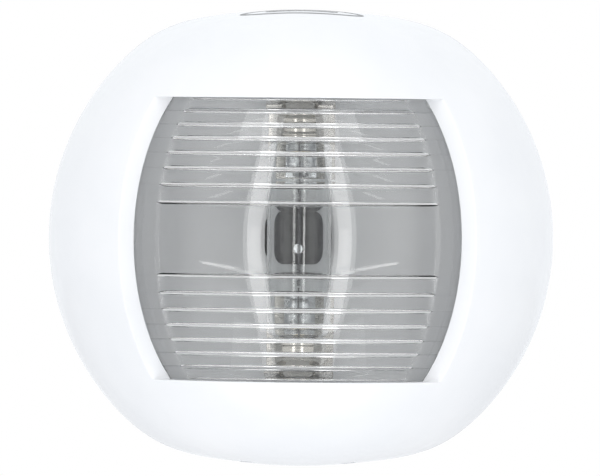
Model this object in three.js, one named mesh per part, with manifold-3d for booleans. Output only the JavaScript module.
// A surface-mounted 135 degree stern navigation light: a clip-on cover with a drum lens
// over a base that carries a double-ended festoon lamp.
// Millimetres. +Z is up, the light shines towards -Y, and the back face lies in the plane y = 0.
// A "depth" is the distance in front of the back face, so y = -depth.
import * as THREE from 'three';
import { mergeVertices } from 'three/addons/utils/BufferGeometryUtils.js';
import Module from 'manifold-3d';

const wasm = await Module();
wasm.setup();

// Driving dimensions
const HALF_WIDTH = 42.6;
const HALF_HEIGHT = 38.4;
const TOTAL_DEPTH = 40;
const SIDE_RADIUS = 42.6; // the round sides of the outline, struck from its centre
const TOP_RADIUS = 140; // the flat arcs across the top and the bottom
const CORNER_SHARPNESS = 32; // how quickly one arc turns into the other
const DOME_START = 3; // the wall is straight up to this depth
const SIDE_POWER = 2; // the dome's horizontal section is an ellipse
const TOP_POWER = 3; // its vertical section is squarer
const OUTLINE_STEPS = 60;
const DOME_STEPS = 11;

const WALL = 2.4;
const GAP = 0.3; // between pieces that touch on the real light

const LAMP_DEPTH = 17.4; // the filament's axis
const SECTOR_HALF_ANGLE = 67.5; // degrees each side of straight ahead
const WINDOW_HALF_HEIGHT = 23.4;

const LENS_THICKNESS = 1.6; // at the bottom of the grooves and at the sides
const GROOVE_DEPTH = 0.45; // between one prism and the next
const GROOVE_HALF_WIDTH = 0.4;
const PRISM_POWER = 0.0128; // slope of a prism's face for each millimetre above the lamp's middle
const PRISM_EDGES = [5.9, 8.8, 11.5, 14, 16.4, 18.6, 20.8, 22.9]; // heights above the lamp's middle
const PRISM_END_ANGLE = 62; // plain lens beyond this angle
const LENS_FLANGE = 2.7; // hidden rim behind the cover, above and below the window
const LENS_FLANGE_ANGLE = 71.5;

const BASE_THICKNESS = 2.5;
const BASE_INSET = 0.25;
const SPIGOT_INSET = 3.2;
const SPIGOT_WALL = 1.8;
const SPIGOT_TOP = 8;
const SCREW_SPACING = 65;
const SCREW_HOLE_RADIUS = 2.2;
const SCREW_BOSS_RADIUS = 4.4;
const SCREW_BOSS_HEIGHT = 1.5;

const TAB_SPACING = 17;
const TAB_WIDTH = 5;
const TAB_TOP = 12.8;
const TAB_INNER = 31.6; // faces of the tab's stem, from the middle of the light
const TAB_OUTER = 33.6;
const TAB_BARB = 34.7;
const TAB_NOSE_LENGTH = 2.6;
const RELEASE_SLOT_WIDTH = 2.2;
const RELEASE_SLOT_LENGTH = 5.6;

const SEAL_WIDTH = 1.4;
const SEAL_HEIGHT = 1.2;
const SEAL_INSET = 1.3;
const GASKET_INSET = 5.4;
const GASKET_WIDTH = 1.6;
const GASKET_HEIGHT = 1.1;

const GROMMET_HALF_HEIGHT = 4.5;
const GROMMET_STRETCH = 0.9; // how much wider it is than high, each side
const GROMMET_X = -0.45; // its centre is a little to the left of the light's
const GROMMET_NECK = 3.4; // half the width of the neck in the base's hole
const GROMMET_CORNER = 2.6;
const GROMMET_TOP = 6.2;
const GROMMET_BACK_LIP = 1.1;
const PILOT_RADIUS = 0.85;
const PILOT_DROP = 1.9; // the pilot hole sits below the middle

const GLASS_RADIUS = 5.2;
const GLASS_BORE = 4.2;
const GLASS_HALF_LENGTH = 15;
const CAP_RADIUS = 4.25;
const CAP_START = 15.3;
const CAP_SHOULDER = 18.5;
const CAP_END = 20.6;
const CAP_TIP_RADIUS = 1.6;
const LAMP_HALF_LENGTH = 21;
const FILAMENT_HALF_LENGTH = 7;
const FILAMENT_RADIUS = 0.35;
const LEAD_RADIUS = 0.25;

const STRIP_THICKNESS = 0.5;
const STRIP_WIDTH = 11;
const BLADE_HEIGHT = 19.85; // inner face of the blade, from the lamp's middle
const BLADE_FOOT_DEPTH = 4.3;
const BLADE_TOP_DEPTH = 21.4;
const FORK_HALF_WIDTH = 2.9;
const FOOT_INNER_END = 7.6;
const TERMINAL_Z = 10.9;
const CLAMP_HALF_WIDTH = 3;
const RIVET_Z = 16.4;
const RIVET_RADIUS = 1.2;
const RIVET_HEAD_RADIUS = 2.2;
const TERMINAL_SCREW_RADIUS = 1.5;
const TERMINAL_HEAD_RADIUS = 2.9;
const CLAMP_THICKNESS = 0.8;
const TERMINAL_SCREW_START = 1.4; // depth of its blind end
const TERMINAL_RIM_HEIGHT = 1.1; // the head's straight part
const TERMINAL_HEAD_HEIGHT = 2.1;
const TERMINAL_SLOT_WIDTH = 0.8;
const PEDESTAL_TOP = 4;
const PEDESTAL_END = 21.4;
const STOP_START = 23.4; // a stop stands behind each blade
const STOP_END = 25;
const STOP_TOP = 14;
const STOP_HALF_WIDTH = 4;
const RIB_WIDTH = 1.4; // two ribs hold the stop up from behind
const RIB_TOP = 9;
const RIB_START = 24.5;
const RIB_END = 34;

// Materials
function material(color, roughness, metalness, opacity = 1) {
  return new THREE.MeshStandardMaterial({ color, roughness, metalness, opacity, transparent: opacity < 1 });
}
const HOUSING_WHITE = material(0xf4f5f7, 0.25, 0);
const BASE_WHITE = material(0xe9ebee, 0.45, 0);
const CLEAR_PLASTIC = material(0xdfe4e6, 0.08, 0, 0.4);
const BLACK_RUBBER = material(0x1c1d1f, 0.75, 0);
const LAMP_GLASS = material(0xeef3f5, 0.03, 0, 0.3);
const NICKEL = material(0xc9c4b4, 0.3, 1);
const TUNGSTEN = material(0x6e6c69, 0.5, 1);
const SOLDER = material(0xa9abad, 0.5, 1);
const ZINC_STEEL = material(0xb4b8bb, 0.35, 1);
const SPRING_BRASS = material(0xbfb38c, 0.35, 1);

// Solids
function solid(geometry) {
  const bare = geometry.clone();
  bare.deleteAttribute('normal');
  bare.deleteAttribute('uv');
  const merged = mergeVertices(bare, 1e-4);
  const vertProperties = new Float32Array(merged.attributes.position.array);
  const triVerts = new Uint32Array(merged.index.array);
  const made = new wasm.Manifold(new wasm.Mesh({ numProp: 3, vertProperties, triVerts }));
  if (made.volume() > 0) return made;
  // The skin was wound facing inwards, so every triangle is turned round.
  triVerts.reverse();
  return new wasm.Manifold(new wasm.Mesh({ numProp: 3, vertProperties, triVerts }));
}

function geometryOf(manifold) {
  const mesh = manifold.getMesh();
  const geometry = new THREE.BufferGeometry();
  const positions = new Float32Array((mesh.vertProperties.length / mesh.numProp) * 3);
  for (let i = 0; i < positions.length / 3; i += 1) {
    for (let axis = 0; axis < 3; axis += 1) {
      positions[i * 3 + axis] = mesh.vertProperties[i * mesh.numProp + axis];
    }
  }
  geometry.setAttribute('position', new THREE.BufferAttribute(positions, 3));
  geometry.setIndex([...mesh.triVerts]);
  geometry.computeVertexNormals();
  return geometry;
}

function union(first, ...others) {
  return others.reduce((whole, piece) => whole.add(piece), first);
}

function without(first, ...others) {
  return others.reduce((whole, piece) => whole.subtract(piece), first);
}

// A box between two corners, each given as x, depth and height.
function box(x0, x1, depth0, depth1, z0, z1) {
  const geometry = new THREE.BoxGeometry(x1 - x0, depth1 - depth0, Math.abs(z1 - z0));
  geometry.translate((x0 + x1) / 2, -(depth0 + depth1) / 2, (z0 + z1) / 2);
  return solid(geometry);
}

// A solid of revolution about an axis that points out of the base; the profile is [radius, depth].
function turnedForward(profile, x, z, steps = 24) {
  const points = profile.map(([radius, depth]) => new THREE.Vector2(radius, depth));
  const geometry = new THREE.LatheGeometry(points, steps);
  geometry.rotateX(Math.PI);
  geometry.translate(x, 0, z);
  return solid(geometry);
}

// A solid of revolution about the lamp's vertical axis; the profile is [radius, height].
function turnedUpright(profile, steps = 24) {
  const points = profile.map(([radius, height]) => new THREE.Vector2(radius, height));
  const geometry = new THREE.LatheGeometry(points, steps);
  geometry.rotateX(Math.PI / 2);
  geometry.translate(0, -LAMP_DEPTH, 0);
  return solid(geometry);
}

// A closed skin over a stack of rings, each with the same number of points.
function stackedSolid(rings) {
  const count = rings[0].length;
  const positions = rings.flat();
  const indices = [];
  for (let level = 0; level + 1 < rings.length; level += 1) {
    for (let i = 0; i < count; i += 1) {
      const next = (i + 1) % count;
      const a = level * count + i;
      const b = level * count + next;
      indices.push(a, a + count, b, b, a + count, b + count);
    }
  }
  const bottom = positions.push(centreOf(rings[0])) - 1;
  const top = positions.push(centreOf(rings.at(-1))) - 1;
  const lastRing = (rings.length - 1) * count;
  for (let i = 0; i < count; i += 1) {
    const next = (i + 1) % count;
    indices.push(bottom, i, next);
    indices.push(top, lastRing + next, lastRing + i);
  }
  const geometry = new THREE.BufferGeometry().setFromPoints(positions);
  geometry.setIndex(indices);
  return solid(geometry);
}

function centreOf(ring) {
  const sum = ring.reduce((total, point) => total.add(point), new THREE.Vector3());
  return sum.divideScalar(ring.length);
}

// The outline and the dome
function outlineRadius(angle) {
  const rise = Math.abs(Math.sin(angle));
  const drop = TOP_RADIUS - HALF_HEIGHT;
  const flat = Math.sqrt(TOP_RADIUS ** 2 - drop ** 2 * (1 - rise ** 2)) - drop * rise;
  return (SIDE_RADIUS ** -CORNER_SHARPNESS + flat ** -CORNER_SHARPNESS) ** (-1 / CORNER_SHARPNESS);
}

// How far the outline stands out from the ellipse of the same width and height.
function fullness(turn) {
  const x = HALF_WIDTH * Math.cos(turn);
  const z = HALF_HEIGHT * Math.sin(turn);
  return outlineRadius(Math.atan2(z, x)) / Math.hypot(x, z);
}

// The dome's half-width, half-height and squareness at a depth, for a skin set in by an inset.
function domeSection(depth, inset) {
  const climb = Math.max(0, depth - DOME_START) / (TOTAL_DEPTH - inset - DOME_START);
  const left = Math.max(0, 1 - climb);
  return {
    halfWidth: (HALF_WIDTH - inset) * Math.max(0, 1 - climb ** SIDE_POWER) ** (1 / SIDE_POWER),
    halfHeight: (HALF_HEIGHT - inset) * Math.max(0, 1 - climb ** TOP_POWER) ** (1 / TOP_POWER),
    squareness: left ** 2,
  };
}

function domeRing(depth, inset, atDepth = depth) {
  const { halfWidth, halfHeight, squareness } = domeSection(depth, inset);
  const ring = [];
  for (let i = 0; i < OUTLINE_STEPS; i += 1) {
    const turn = (i / OUTLINE_STEPS) * 2 * Math.PI;
    const reach = 1 + (fullness(turn) - 1) * squareness;
    const x = halfWidth * Math.cos(turn) * reach;
    const z = halfHeight * Math.sin(turn) * reach;
    ring.push(new THREE.Vector3(x, -atDepth, z));
  }
  return ring;
}

function domeSolid(inset, rearDepth) {
  const rings = [domeRing(DOME_START, inset, rearDepth)];
  for (let step = 0; step < DOME_STEPS; step += 1) {
    const climb = Math.sin((step / DOME_STEPS) * Math.PI / 2);
    rings.push(domeRing(DOME_START + climb * (TOTAL_DEPTH - inset - DOME_START), inset));
  }
  const crown = TOTAL_DEPTH - inset;
  const nearCrown = DOME_START + Math.sin((1 - 0.25 / DOME_STEPS) * Math.PI / 2) * (crown - DOME_START);
  rings.push(domeRing(nearCrown, inset));
  return stackedSolid(rings);
}

function outlinePrism(inset, depth0, depth1) {
  return stackedSolid([domeRing(DOME_START, inset, depth0), domeRing(DOME_START, inset, depth1)]);
}

function outlineBand(inset, width, depth0, depth1) {
  const margin = 1;
  return outlinePrism(inset, depth0, depth1)
    .subtract(outlinePrism(inset + width, depth0 - margin, depth1 + margin));
}

function isInsideDome(x, depth, z, inset) {
  const { halfWidth, halfHeight, squareness } = domeSection(depth, inset);
  const across = x / halfWidth;
  const up = z / halfHeight;
  const reach = 1 + (fullness(Math.atan2(up, across)) - 1) * squareness;
  return Math.hypot(across, up) < reach;
}

// Distance from the lamp's axis to the dome's skin, level with z and at an angle from straight ahead.
function skinDistance(angle, z, inset) {
  let near = 0;
  let far = HALF_WIDTH;
  for (let i = 0; i < 40; i += 1) {
    const middle = (near + far) / 2;
    const x = middle * Math.sin(angle);
    const depth = LAMP_DEPTH + middle * Math.cos(angle);
    if (isInsideDome(x, depth, z, inset)) near = middle;
    else far = middle;
  }
  return near;
}

// Cover
function sectorPrism() {
  const reach = 3 * HALF_WIDTH;
  const half = THREE.MathUtils.degToRad(SECTOR_HALF_ANGLE);
  const shape = new THREE.Shape();
  shape.moveTo(0, 0);
  shape.lineTo(reach * Math.sin(half), reach * Math.cos(half));
  shape.lineTo(-reach * Math.sin(half), reach * Math.cos(half));
  shape.closePath();
  const geometry = new THREE.ExtrudeGeometry(shape, { depth: 2 * WINDOW_HALF_HEIGHT, bevelEnabled: false });
  geometry.translate(0, 0, -WINDOW_HALF_HEIGHT);
  geometry.rotateX(Math.PI);
  geometry.translate(0, -LAMP_DEPTH, 0);
  return solid(geometry);
}

function frontHousing() {
  const rear = BASE_THICKNESS + GAP;
  const rebate = outlinePrism(SEAL_INSET - GAP, rear - 1, rear + SEAL_HEIGHT + GAP);
  const slots = [-1, 1].map((side) => {
    const x = (side * TAB_SPACING) / 2;
    const half = RELEASE_SLOT_WIDTH / 2;
    const front = TAB_TOP + 0.9;
    return box(x - half, x + half, front - RELEASE_SLOT_LENGTH, front, -HALF_HEIGHT - 1, -HALF_HEIGHT + 8);
  });
  return without(domeSolid(0, rear), domeSolid(WALL, rear - 1), sectorPrism(), rebate, ...slots);
}

// Lens: a grid of points by angle round the lamp and by height, on an outer and an inner skin.
function lensAngles() {
  const step = 8;
  const angles = [PRISM_END_ANGLE, PRISM_END_ANGLE + 1.5, 67, LENS_FLANGE_ANGLE];
  for (let angle = step; angle < PRISM_END_ANGLE; angle += step) angles.unshift(angle);
  angles.sort((a, b) => a - b);
  return [...angles.map((angle) => -angle).reverse(), 0, ...angles];
}

// Each height in the lens with the extra thickness that it has there. The belt in the middle is plain, and
// each prism's face slopes more than the one nearer the belt, with a groove between them.
function lensLevels() {
  const upper = [
    [0, GROOVE_DEPTH],
    [PRISM_EDGES[0] / 2, GROOVE_DEPTH],
    [PRISM_EDGES[0] - GROOVE_HALF_WIDTH, GROOVE_DEPTH],
    [PRISM_EDGES[0], 0],
  ];
  for (let i = 0; i + 1 < PRISM_EDGES.length; i += 1) {
    const low = PRISM_EDGES[i] + GROOVE_HALF_WIDTH;
    const high = PRISM_EDGES[i + 1] - GROOVE_HALF_WIDTH;
    const slope = (PRISM_POWER * (low + high)) / 2;
    upper.push([low, GROOVE_DEPTH + slope * (high - low)]);
    upper.push([high, GROOVE_DEPTH]);
    upper.push([PRISM_EDGES[i + 1], 0]);
  }
  upper.push([WINDOW_HALF_HEIGHT + LENS_FLANGE, 0]);
  const lower = upper.slice(1).map(([z, rise]) => [-z, rise]).reverse();
  return [...lower, ...upper];
}

function lens() {
  const angles = lensAngles();
  const levels = lensLevels();
  const inset = WALL + GAP;
  const positions = [];
  for (const isInner of [false, true]) {
    for (const [z, rise] of levels) {
      for (const degrees of angles) {
        const angle = THREE.MathUtils.degToRad(degrees);
        const extra = Math.abs(degrees) <= PRISM_END_ANGLE ? rise : 0;
        const cut = isInner ? LENS_THICKNESS + extra : 0;
        const distance = skinDistance(angle, z, inset) - cut;
        const y = -LAMP_DEPTH - distance * Math.cos(angle);
        positions.push(new THREE.Vector3(distance * Math.sin(angle), y, z));
      }
    }
  }
  const across = angles.length;
  const skin = across * levels.length;
  const indices = [];
  const quad = (a, b, c, d) => indices.push(a, b, c, a, c, d);
  for (let row = 0; row + 1 < levels.length; row += 1) {
    for (let column = 0; column + 1 < across; column += 1) {
      const corner = row * across + column;
      quad(corner, corner + 1, corner + across + 1, corner + across);
      quad(skin + corner, skin + corner + across, skin + corner + across + 1, skin + corner + 1);
    }
    const left = row * across;
    const right = left + across - 1;
    quad(left, left + across, skin + left + across, skin + left);
    quad(right, skin + right, skin + right + across, right + across);
  }
  const topRow = (levels.length - 1) * across;
  for (let column = 0; column + 1 < across; column += 1) {
    quad(column, skin + column, skin + column + 1, column + 1);
    const above = topRow + column;
    quad(above, above + 1, skin + above + 1, skin + above);
  }
  const geometry = new THREE.BufferGeometry().setFromPoints(positions);
  geometry.setIndex(indices);
  return solid(geometry);
}

// Base
function roundedRectangle(half, corner, stretch) {
  const shape = new THREE.Shape();
  const flat = half - corner;
  const across = flat + stretch;
  shape.absarc(across, flat, corner, 0, Math.PI / 2);
  shape.absarc(-across, flat, corner, Math.PI / 2, Math.PI);
  shape.absarc(-across, -flat, corner, Math.PI, Math.PI * 1.5);
  shape.absarc(across, -flat, corner, Math.PI * 1.5, Math.PI * 2);
  shape.closePath();
  return shape;
}

// A plug at the grommet's place, with round corners. Half is its half height, and it is wider than
// that by the stretch on each side.
function roundedPlug(half, corner, depth0, depth1, stretch = 0) {
  const geometry = new THREE.ExtrudeGeometry(roundedRectangle(half, corner, stretch), {
    depth: depth1 - depth0,
    bevelEnabled: false,
    curveSegments: 6,
  });
  geometry.rotateX(Math.PI / 2);
  geometry.translate(GROMMET_X, -depth0, 0);
  return solid(geometry);
}

function hole(radius, depth0, depth1, x, z, steps = 24) {
  return turnedForward([[0, depth0], [radius, depth0], [radius, depth1], [0, depth1]], x, z, steps);
}

// A spring tab stands on the spigot, and its barb stops just short of the cover's wall.
function springTab(x, side) {
  const inner = side * TAB_INNER;
  const wide = TAB_WIDTH / 2;
  const stem = box(x - wide, x + wide, BASE_THICKNESS - 1, TAB_TOP, inner, side * TAB_OUTER);
  const half = RELEASE_SLOT_WIDTH / 2 - GAP;
  const nose = box(x - half, x + half, TAB_TOP - TAB_NOSE_LENGTH, TAB_TOP, inner, side * TAB_BARB);
  return stem.add(nose);
}

// What carries one contact: a pedestal with the rivet's and the terminal's holes, and a stop behind the blade.
function contactPedestal(side) {
  const half = STRIP_WIDTH / 2;
  const floor = BASE_THICKNESS - 1;
  const under = box(-half, half, floor, PEDESTAL_TOP, side * FOOT_INNER_END, side * PEDESTAL_END);
  const stop = box(-STOP_HALF_WIDTH, STOP_HALF_WIDTH, floor, STOP_TOP, side * STOP_START, side * STOP_END);
  const ribs = [-STOP_HALF_WIDTH, STOP_HALF_WIDTH - RIB_WIDTH].map((x) =>
    box(x, x + RIB_WIDTH, floor, RIB_TOP, side * RIB_START, side * RIB_END),
  );
  return union(under, stop, ...ribs);
}

function rearBase() {
  let base = outlinePrism(BASE_INSET, 0, BASE_THICKNESS);
  base = base.add(outlineBand(SPIGOT_INSET, SPIGOT_WALL, BASE_THICKNESS - 1, SPIGOT_TOP));
  for (const side of [-1, 1]) {
    const tabs = [-TAB_SPACING / 2, TAB_SPACING / 2].map((x) => springTab(x, side));
    base = union(base, contactPedestal(side), ...tabs);
    const x = (side * SCREW_SPACING) / 2;
    const bossTop = BASE_THICKNESS + SCREW_BOSS_HEIGHT;
    base = base.add(hole(SCREW_BOSS_RADIUS, BASE_THICKNESS - 1, bossTop, x, 0));
    base = base.subtract(hole(SCREW_HOLE_RADIUS, -1, bossTop + 1, x, 0));
    base = base.subtract(hole(RIVET_RADIUS + GAP, 1, PEDESTAL_TOP + 1, 0, side * RIVET_Z, 16));
    const pilot = TERMINAL_SCREW_RADIUS + GAP;
    base = base.subtract(hole(pilot, 1, PEDESTAL_TOP + 1, 0, side * TERMINAL_Z, 16));
  }
  const groove = outlineBand(GASKET_INSET - GAP, GASKET_WIDTH + 2 * GAP, -1, GASKET_HEIGHT + GAP);
  const grommetHole = roundedPlug(GROMMET_NECK + GAP, GROMMET_CORNER - 0.8, -1, BASE_THICKNESS + 1);
  const seatHalf = GROMMET_HALF_HEIGHT + GAP;
  const seatDepth = GROMMET_BACK_LIP + GAP;
  const lipSeat = roundedPlug(seatHalf, GROMMET_CORNER + GAP, -1, seatDepth, GROMMET_STRETCH);
  return without(base, groove, grommetHole, lipSeat);
}

// Seals
function coverSeal() {
  const rear = BASE_THICKNESS + GAP;
  return outlineBand(SEAL_INSET, SEAL_WIDTH, rear, rear + SEAL_HEIGHT);
}

function rearGasket() {
  return outlineBand(GASKET_INSET, GASKET_WIDTH, 0, GASKET_HEIGHT);
}

function cableGrommet() {
  const front = BASE_THICKNESS + GAP;
  const half = GROMMET_HALF_HEIGHT;
  const corner = GROMMET_CORNER;
  const wider = GROMMET_STRETCH;
  const body = union(
    roundedPlug(half, corner, 0, GROMMET_BACK_LIP, wider),
    roundedPlug(GROMMET_NECK, corner - 1.1, 0.5, front + 0.5),
    roundedPlug(half, corner, front, GROMMET_TOP - 1, wider),
    roundedPlug(half - 0.8, corner - 0.4, GROMMET_TOP - 1.2, GROMMET_TOP, wider),
  );
  return body.subtract(hole(PILOT_RADIUS, -1, GROMMET_TOP + 1, GROMMET_X, -PILOT_DROP, 16));
}

// Lamp
function bulbGlass() {
  return turnedUpright([
    [GLASS_BORE, -GLASS_HALF_LENGTH],
    [GLASS_RADIUS - 0.4, -GLASS_HALF_LENGTH],
    [GLASS_RADIUS, -GLASS_HALF_LENGTH + 1.2],
    [GLASS_RADIUS, GLASS_HALF_LENGTH - 1.2],
    [GLASS_RADIUS - 0.4, GLASS_HALF_LENGTH],
    [GLASS_BORE, GLASS_HALF_LENGTH],
    [GLASS_BORE, -GLASS_HALF_LENGTH],
  ], 32);
}

function bulbCap() {
  return turnedUpright([
    [0, CAP_START],
    [CAP_RADIUS + 0.3, CAP_START],
    [CAP_RADIUS + 0.3, CAP_START + 0.6],
    [CAP_RADIUS, CAP_START + 0.9],
    [CAP_RADIUS, CAP_SHOULDER - 0.3],
    [CAP_RADIUS - 0.3, CAP_SHOULDER],
    [CAP_TIP_RADIUS, CAP_END],
    [0, CAP_END],
  ]);
}

function bulbTip() {
  const start = CAP_END + 0.1;
  return turnedUpright([
    [0, start],
    [CAP_TIP_RADIUS - 0.5, start],
    [0.6, LAMP_HALF_LENGTH - 0.05],
    [0, LAMP_HALF_LENGTH],
  ], 12);
}

function bulbFilament() {
  return turnedUpright([
    [0, -FILAMENT_HALF_LENGTH],
    [FILAMENT_RADIUS, -FILAMENT_HALF_LENGTH],
    [FILAMENT_RADIUS, FILAMENT_HALF_LENGTH],
    [0, FILAMENT_HALF_LENGTH],
  ], 10);
}

function bulbLead() {
  const start = FILAMENT_HALF_LENGTH + 0.2;
  const end = CAP_START - 0.2;
  return turnedUpright([[0, start], [LEAD_RADIUS, start], [LEAD_RADIUS, end], [0, end]], 8);
}

// Contacts: each strip is split at its bend into a riveted foot and a blade.
function contactFoot() {
  const top = PEDESTAL_TOP + GAP + STRIP_THICKNESS;
  const rear = PEDESTAL_TOP + GAP;
  const half = STRIP_WIDTH / 2;
  return without(
    box(-half, half, rear, top, FOOT_INNER_END, BLADE_HEIGHT - GAP),
    hole(RIVET_RADIUS + GAP, 0, top + 1, 0, RIVET_Z, 16),
    hole(TERMINAL_SCREW_RADIUS + GAP, 0, top + 1, 0, TERMINAL_Z, 16),
  );
}

function contactBlade() {
  const half = STRIP_WIDTH / 2;
  const inner = BLADE_HEIGHT;
  const outer = BLADE_HEIGHT + STRIP_THICKNESS;
  const blade = box(-half, half, BLADE_FOOT_DEPTH, BLADE_TOP_DEPTH, inner, outer);
  const notchFloor = LAMP_DEPTH;
  const notch = box(-FORK_HALF_WIDTH, FORK_HALF_WIDTH, notchFloor, BLADE_TOP_DEPTH + 1, inner - 1, outer + 1);
  const seatGeometry = new THREE.CylinderGeometry(FORK_HALF_WIDTH, FORK_HALF_WIDTH, 4, 24);
  seatGeometry.rotateX(Math.PI / 2);
  seatGeometry.translate(0, -LAMP_DEPTH, inner);
  return without(blade, notch, solid(seatGeometry));
}

function contactRivet() {
  const seat = PEDESTAL_TOP + 2 * GAP + STRIP_THICKNESS;
  return turnedForward([
    [0, 1.4],
    [RIVET_RADIUS, 1.4],
    [RIVET_RADIUS, seat],
    [RIVET_HEAD_RADIUS, seat],
    [RIVET_HEAD_RADIUS * 0.8, seat + 0.8],
    [0, seat + 1],
  ], 0, RIVET_Z, 16);
}

function terminalClamp() {
  const rear = PEDESTAL_TOP + 2 * GAP + STRIP_THICKNESS;
  const half = CLAMP_HALF_WIDTH;
  const plate = box(-half, half, rear, rear + CLAMP_THICKNESS, TERMINAL_Z - half, TERMINAL_Z + half);
  return plate.subtract(hole(TERMINAL_SCREW_RADIUS + GAP, 0, rear + 3, 0, TERMINAL_Z, 16));
}

function terminalScrew() {
  const seat = PEDESTAL_TOP + 3 * GAP + STRIP_THICKNESS + CLAMP_THICKNESS;
  const rim = seat + TERMINAL_RIM_HEIGHT;
  const top = seat + TERMINAL_HEAD_HEIGHT;
  const head = turnedForward([
    [0, TERMINAL_SCREW_START],
    [TERMINAL_SCREW_RADIUS, TERMINAL_SCREW_START],
    [TERMINAL_SCREW_RADIUS, seat],
    [TERMINAL_HEAD_RADIUS, seat],
    [TERMINAL_HEAD_RADIUS, rim],
    [TERMINAL_HEAD_RADIUS * 0.75, top - 0.2],
    [0, top],
  ], 0, TERMINAL_Z, 20);
  const half = TERMINAL_SLOT_WIDTH / 2;
  const wide = TERMINAL_HEAD_RADIUS + 1;
  const slot = box(-wide, wide, rim, top + 1, TERMINAL_Z - half, TERMINAL_Z + half);
  return head.subtract(slot);
}

// Assembly
const light = new THREE.Group();
const base = new THREE.Group();
const cover = new THREE.Group();
const lamp = new THREE.Group();
light.add(base, cover, lamp);

function place(name, manifold, paint, parent, halfTurn = false) {
  const mesh = new THREE.Mesh(geometryOf(manifold), paint);
  mesh.name = name;
  if (halfTurn) mesh.rotation.y = Math.PI;
  parent.add(mesh);
}

place('rear_base', rearBase(), BASE_WHITE, base);
place('rear_gasket', rearGasket(), BLACK_RUBBER, base);
place('cable_grommet', cableGrommet(), BLACK_RUBBER, base);
place('cover_seal', coverSeal(), BLACK_RUBBER, base);
place('front_housing', frontHousing(), HOUSING_WHITE, cover);
place('lens', lens(), CLEAR_PLASTIC, cover);
place('bulb_glass', bulbGlass(), LAMP_GLASS, lamp);
place('bulb_filament', bulbFilament(), TUNGSTEN, lamp);

// The lower half of the lamp and its holder is the upper half turned by 180 degrees about the Y axis.
for (const [end, halfTurn] of [['upper', false], ['lower', true]]) {
  place(`bulb_cap_${end}`, bulbCap(), NICKEL, lamp, halfTurn);
  place(`bulb_tip_${end}`, bulbTip(), SOLDER, lamp, halfTurn);
  place(`bulb_lead_${end}`, bulbLead(), TUNGSTEN, lamp, halfTurn);
  place(`contact_foot_${end}`, contactFoot(), SPRING_BRASS, base, halfTurn);
  place(`contact_blade_${end}`, contactBlade(), SPRING_BRASS, base, halfTurn);
  place(`contact_rivet_${end}`, contactRivet(), SPRING_BRASS, base, halfTurn);
  place(`terminal_clamp_${end}`, terminalClamp(), ZINC_STEEL, base, halfTurn);
  place(`terminal_screw_${end}`, terminalScrew(), ZINC_STEEL, base, halfTurn);
}

export default light;
